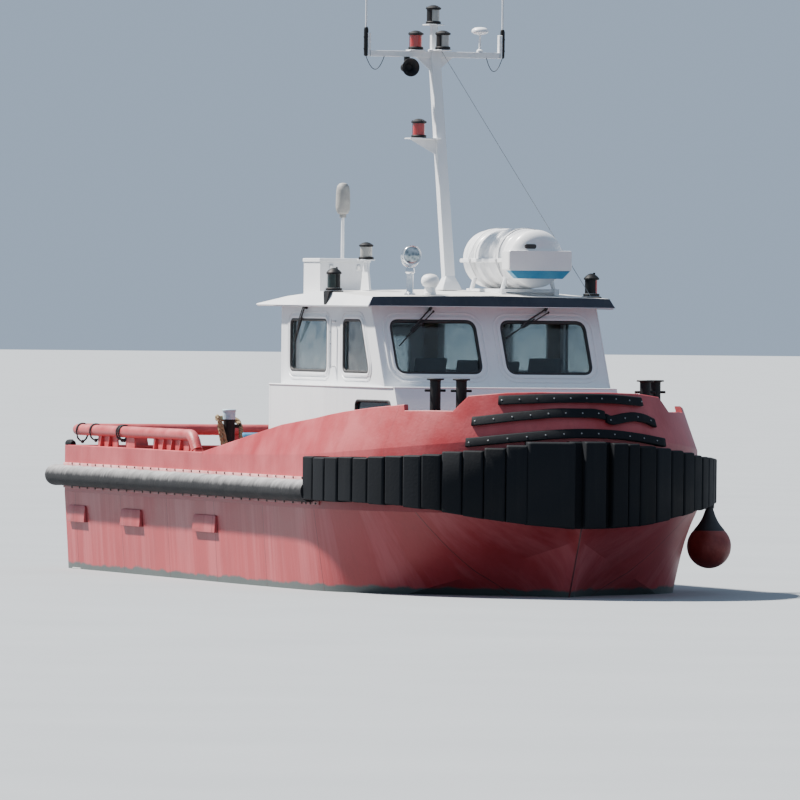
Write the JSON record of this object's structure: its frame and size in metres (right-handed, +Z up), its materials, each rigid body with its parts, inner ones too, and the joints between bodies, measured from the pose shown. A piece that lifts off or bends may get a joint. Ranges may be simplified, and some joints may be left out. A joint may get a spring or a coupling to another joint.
{
  "type": "tugboat",
  "caption": "Small twin-screw harbour pusher tug with a blunt fendered bow, raked wheelhouse, tow rails, mast, life raft, and rudders, door, lids, hook and searchlight that move.",
  "frame": {"origin": "on the still waterline, on the centreline, halfway along the hull", "axes": "+X to port, -Y towards the bow, +Z up"},
  "size_m": [4.6379, 10.6613, 7.95],
  "materials": {
    "hull_red": "sun-faded gloss, brushed on",
    "deck_red": "worn non-slip paint",
    "house_white": "satin",
    "fender_black": "matt, scuffed",
    "fender_grey": "matt, bleached by salt",
    "gear_black": "satin",
    "gear_grey": "satin",
    "lamp_red": "ribbed lens",
    "polished_steel": "polished",
    "bronze": "dull, as cast",
    "window": "toughened, lightly tinted",
    "ball_orange": "weathered inflated vinyl",
    "drum_blue": "moulded",
    "raft_white": "gel coat",
    "seat_black": "grained vinyl"
  },
  "bodies": {
    "boat": {"hull": "hull_red", "bulwark_aft": "hull_red", "bulwark_bow": "hull_red", "fender_bow": "fender_black", "fender_side": "fender_grey", "strip_top": "fender_black", "strip_middle": "fender_black", "strip_low": "fender_black", "bitts_port": "gear_black", "bitts_starboard": "gear_black", "rail_port": "hull_red", "rail_starboard": "hull_red", "rail_stern": "hull_red", "house_front": "house_white", "house_side_port": "house_white", "house_side_starboard": "house_white", "house_aft": "house_white", "wheelhouse_front": "house_white", "wheelhouse_side_port": "house_white", "wheelhouse_side_starboard": "house_white", "roof": "house_white", "roof_locker": "house_white", "raft_case": "raft_white", "raft_cradle": "house_white", "mast": "house_white", "lamp_top": "gear_black", "lamp_front": "gear_black", "lamp_red_upper": "lamp_red", "lamp_red_lower": "lamp_red", "searchlight_post": "polished_steel", "vent": "house_white", "sidelight_port": "gear_black", "sidelight_starboard": "gear_black", "deck_lamp": "gear_grey", "radar_reflector": "gear_grey", "helm_console": "gear_grey", "helm_seat": "seat_black", "hatch_coaming": "deck_red", "tow_post": "deck_red", "stern_bitts": "deck_red", "deck_drum": "drum_blue", "ball_fender": "ball_orange", "glass_front_port": "window", "glass_front_starboard": "window", "glass_forward_port": "window", "glass_forward_starboard": "window", "glass_after_port": "window", "glass_after_starboard": "window", "glass_aft_port": "window", "glass_aft_starboard": "window"},
    "propeller_port": {"propeller_port": "bronze"},
    "propeller_starboard": {"propeller_starboard": "bronze"},
    "rudder_port": {"rudder_port": "deck_red"},
    "rudder_starboard": {"rudder_starboard": "deck_red"},
    "door": {"door": "house_white", "glass_door": "window"},
    "hatch_lid": {"hatch_lid": "deck_red"},
    "roof_locker_lid": {"roof_locker_lid": "house_white"},
    "searchlight": {"searchlight_head": "polished_steel"},
    "tow_hook": {"tow_hook": "gear_black"}
  },
  "joints": [
    {"name": "propeller_port_spin", "type": "hinge", "parent": "boat", "child": "propeller_port", "pos_m": [0.7, 3.925, -0.72], "axis": [0, 1, 0], "continuous": true},
    {"name": "rudder_port_turn", "type": "hinge", "parent": "boat", "child": "rudder_port", "pos_m": [0.7, 4.355, -0.4], "axis": [0, 0, 1], "range_deg": [-35, 35]},
    {"name": "propeller_starboard_spin", "type": "hinge", "parent": "boat", "child": "propeller_starboard", "pos_m": [-0.7, 3.925, -0.72], "axis": [0, 1, 0], "continuous": true},
    {"name": "rudder_starboard_turn", "type": "hinge", "parent": "boat", "child": "rudder_starboard", "pos_m": [-0.7, 4.355, -0.4], "axis": [0, 0, 1], "range_deg": [-35, 35]},
    {"name": "door_swing", "type": "hinge", "parent": "boat", "child": "door", "pos_m": [0.352, 0.377, 1.25], "axis": [0, 0, -1], "range_deg": [0, 110]},
    {"name": "hatch_lid_lift", "type": "hinge", "parent": "boat", "child": "hatch_lid", "pos_m": [0, 2.06, 1.0103], "axis": [1, 0, 0], "range_deg": [0, 100]},
    {"name": "roof_locker_lid_lift", "type": "hinge", "parent": "boat", "child": "roof_locker_lid", "pos_m": [-1.13, -0.275, 3.3053], "axis": [0, -1, 0], "range_deg": [0, 100]},
    {"name": "searchlight_pan", "type": "hinge", "parent": "boat", "child": "searchlight", "pos_m": [-0.77, -2.225, 3.2153], "axis": [0, 0, 1], "range_deg": [-170, 170]},
    {"name": "tow_hook_swivel", "type": "hinge", "parent": "boat", "child": "tow_hook", "pos_m": [0, 1.225, 1.33], "axis": [0, 0, 1], "range_deg": [-75, 75]}
  ]
}
